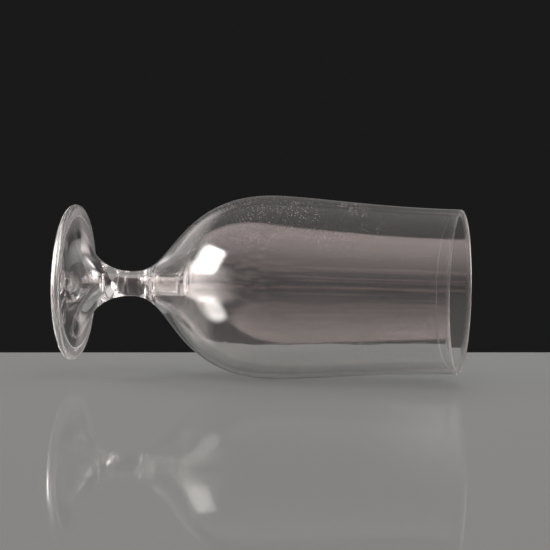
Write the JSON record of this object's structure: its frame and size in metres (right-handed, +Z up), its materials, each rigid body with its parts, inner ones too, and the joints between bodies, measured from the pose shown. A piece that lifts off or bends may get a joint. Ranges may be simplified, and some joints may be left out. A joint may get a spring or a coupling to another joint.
{
  "type": "plastic goblet",
  "caption": "Clear plastic stemmed goblet: a tulip-shaped drinking bowl, and a hollow round foot and stem that push into a socket in a boss inside the bowl.",
  "frame": {"origin": "on the surface that the goblet lies on, under the middle of its length", "axes": "+X along the goblet's own axis from the foot to the mouth, +Z up, lying on its belly as pictured; a turn of -90 degrees about +Y stands it on its foot"},
  "size_m": [0.158, 0.074, 0.074],
  "materials": {
    "foot_plastic": "clear, glossy",
    "bowl_plastic": "clear, glossy"
  },
  "bodies": {
    "bowl": {"bowl": "bowl_plastic"},
    "foot_stem": {"foot_stem": "foot_plastic"}
  },
  "joints": [
    {"name": "foot_pull", "type": "slide", "parent": "bowl", "child": "foot_stem", "axis": [-1, 0, 0], "range_m": [0, 0.025]}
  ]
}
